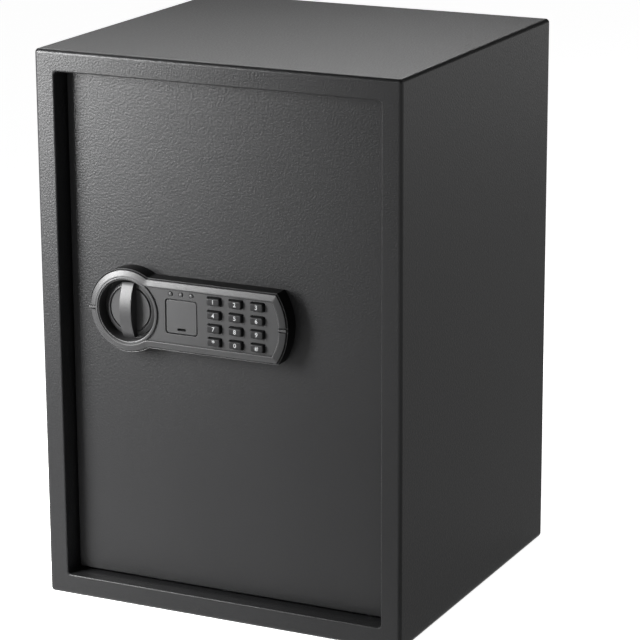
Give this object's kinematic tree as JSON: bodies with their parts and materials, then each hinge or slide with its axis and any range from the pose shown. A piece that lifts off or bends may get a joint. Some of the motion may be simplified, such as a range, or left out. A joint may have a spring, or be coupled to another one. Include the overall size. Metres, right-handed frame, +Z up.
{
  "type": "electronic security safe",
  "caption": "Upright steel security safe with an inset hinged door, a knob-driven bolt work, a digital keypad, a key override and a removable shelf.",
  "frame": {"origin": "centre of the cabinet's footprint, on the underside that it stands on", "axes": "+X to the right as seen from the front, +Y to the back, +Z up; the door faces -Y and hinges at +X"},
  "size_m": [0.35, 0.33, 0.5],
  "materials": {
    "powder_coat": "black powder coat with a fine texture, semi-gloss",
    "zinc_steel": "zinc-plated steel",
    "chrome": "polished plated steel",
    "brass": "turned brass",
    "solenoid": "plated yoke with a wound, taped coil",
    "bezel_plastic": "charcoal moulded plastic, satin",
    "battery_plastic": "black moulded plastic",
    "key_rubber": "black silicone rubber with white legends",
    "indicator_lens": "clear grey lens, unlit",
    "circuit_board": "green solder mask",
    "cell_sleeve": "plain blue sleeve with a bright end",
    "cable_sheath": "black sheath",
    "reset_red": "red moulded plastic",
    "mat_felt": "charcoal needle felt"
  },
  "bodies": {
    "cabinet": {"body_shell": "powder_coat", "back_panel": "powder_coat", "hinge_socket_upper": "zinc_steel", "hinge_socket_lower": "zinc_steel", "shelf_rail_left": "powder_coat", "shelf_rail_right": "powder_coat", "floor_mat": "mat_felt"},
    "shelf": {"shelf": "powder_coat"},
    "door": {"door_plate": "powder_coat", "bolt_housing": "powder_coat", "housing_cover": "powder_coat", "cover_screw_1": "zinc_steel", "cover_screw_2": "zinc_steel", "cover_screw_3": "zinc_steel", "cover_screw_4": "zinc_steel", "hinge_bracket_upper": "powder_coat", "hinge_bracket_lower": "powder_coat", "hinge_pin_upper": "zinc_steel", "hinge_pin_lower": "zinc_steel", "carriage_guide_upper": "zinc_steel", "carriage_guide_lower": "zinc_steel", "spindle_bush": "brass", "solenoid_body": "solenoid", "plunger_spring": "chrome", "key_lock_housing": "chrome", "keypad_bezel": "bezel_plastic", "indicator_left": "indicator_lens", "indicator_middle": "indicator_lens", "indicator_right": "indicator_lens", "keypad_board": "circuit_board", "battery_tray": "battery_plastic", "battery_cell_1": "cell_sleeve", "battery_cell_2": "cell_sleeve", "battery_cell_3": "cell_sleeve", "battery_cell_4": "cell_sleeve", "control_board": "circuit_board", "keypad_cable": "cable_sheath"},
    "knob": {"knob": "bezel_plastic", "crank_spindle": "zinc_steel"},
    "bolt_carriage": {"bolt_carriage": "zinc_steel", "locking_bolt_upper": "chrome", "locking_bolt_lower": "chrome"},
    "plunger": {"solenoid_plunger": "zinc_steel"},
    "key_plug": {"key_lock_plug": "brass", "override_lever": "zinc_steel"},
    "key_cover": {"key_cover": "bezel_plastic"},
    "battery_door": {"battery_door": "battery_plastic"},
    "reset_button": {"reset_button": "reset_red"},
    "key_1": {"key_1": "key_rubber"},
    "key_2": {"key_2": "key_rubber"},
    "key_3": {"key_3": "key_rubber"},
    "key_4": {"key_4": "key_rubber"},
    "key_5": {"key_5": "key_rubber"},
    "key_6": {"key_6": "key_rubber"},
    "key_7": {"key_7": "key_rubber"},
    "key_8": {"key_8": "key_rubber"},
    "key_9": {"key_9": "key_rubber"},
    "key_star": {"key_star": "key_rubber"},
    "key_0": {"key_0": "key_rubber"},
    "key_hash": {"key_hash": "key_rubber"}
  },
  "joints": [
    {"name": "door_hinge", "type": "hinge", "parent": "cabinet", "child": "door", "pos_m": [0.134, -0.136, 0.25], "axis": [0, 0, 1], "range_deg": [0, 110]},
    {"name": "shelf_lift", "type": "slide", "parent": "cabinet", "child": "shelf", "axis": [0, 0, 1], "range_m": [0, 0.06]},
    {"name": "knob_turn", "type": "hinge", "parent": "door", "child": "knob", "pos_m": [-0.089, -0.15, 0.274], "axis": [0, -1, 0], "range_deg": [0, 90]},
    {"name": "bolt_throw", "type": "slide", "parent": "door", "child": "bolt_carriage", "axis": [-1, 0, 0], "range_m": [0, 0.016]},
    {"name": "plunger_lift", "type": "slide", "parent": "door", "child": "plunger", "axis": [0, 0, 1], "range_m": [0, 0.006], "deforming": ["plunger_spring"]},
    {"name": "override_turn", "type": "hinge", "parent": "door", "child": "key_plug", "pos_m": [-0.035, -0.14, 0.274], "axis": [0, 1, 0], "range_deg": [0, 90]},
    {"name": "key_cover_pull", "type": "slide", "parent": "door", "child": "key_cover", "axis": [0, -1, 0], "range_m": [0, 0.06]},
    {"name": "battery_door_slide", "type": "slide", "parent": "door", "child": "battery_door", "axis": [0, 0, -1], "range_m": [0, 0.074]},
    {"name": "reset_press", "type": "slide", "parent": "door", "child": "reset_button", "axis": [0, -1, 0], "range_m": [0, 0.0015], "stiffness_N_per_m": 400},
    {"name": "key_1_press", "type": "slide", "parent": "door", "child": "key_1", "axis": [0, 1, 0], "range_m": [0, 0.0015], "stiffness_N_per_m": 400},
    {"name": "key_2_press", "type": "slide", "parent": "door", "child": "key_2", "axis": [0, 1, 0], "range_m": [0, 0.0015], "stiffness_N_per_m": 400},
    {"name": "key_3_press", "type": "slide", "parent": "door", "child": "key_3", "axis": [0, 1, 0], "range_m": [0, 0.0015], "stiffness_N_per_m": 400},
    {"name": "key_4_press", "type": "slide", "parent": "door", "child": "key_4", "axis": [0, 1, 0], "range_m": [0, 0.0015], "stiffness_N_per_m": 400},
    {"name": "key_5_press", "type": "slide", "parent": "door", "child": "key_5", "axis": [0, 1, 0], "range_m": [0, 0.0015], "stiffness_N_per_m": 400},
    {"name": "key_6_press", "type": "slide", "parent": "door", "child": "key_6", "axis": [0, 1, 0], "range_m": [0, 0.0015], "stiffness_N_per_m": 400},
    {"name": "key_7_press", "type": "slide", "parent": "door", "child": "key_7", "axis": [0, 1, 0], "range_m": [0, 0.0015], "stiffness_N_per_m": 400},
    {"name": "key_8_press", "type": "slide", "parent": "door", "child": "key_8", "axis": [0, 1, 0], "range_m": [0, 0.0015], "stiffness_N_per_m": 400},
    {"name": "key_9_press", "type": "slide", "parent": "door", "child": "key_9", "axis": [0, 1, 0], "range_m": [0, 0.0015], "stiffness_N_per_m": 400},
    {"name": "key_star_press", "type": "slide", "parent": "door", "child": "key_star", "axis": [0, 1, 0], "range_m": [0, 0.0015], "stiffness_N_per_m": 400},
    {"name": "key_0_press", "type": "slide", "parent": "door", "child": "key_0", "axis": [0, 1, 0], "range_m": [0, 0.0015], "stiffness_N_per_m": 400},
    {"name": "key_hash_press", "type": "slide", "parent": "door", "child": "key_hash", "axis": [0, 1, 0], "range_m": [0, 0.0015], "stiffness_N_per_m": 400}
  ],
  "couplings": [
    {"joint": "knob_turn", "follows": "bolt_throw", "rad_per_m": 98.175}
  ]
}
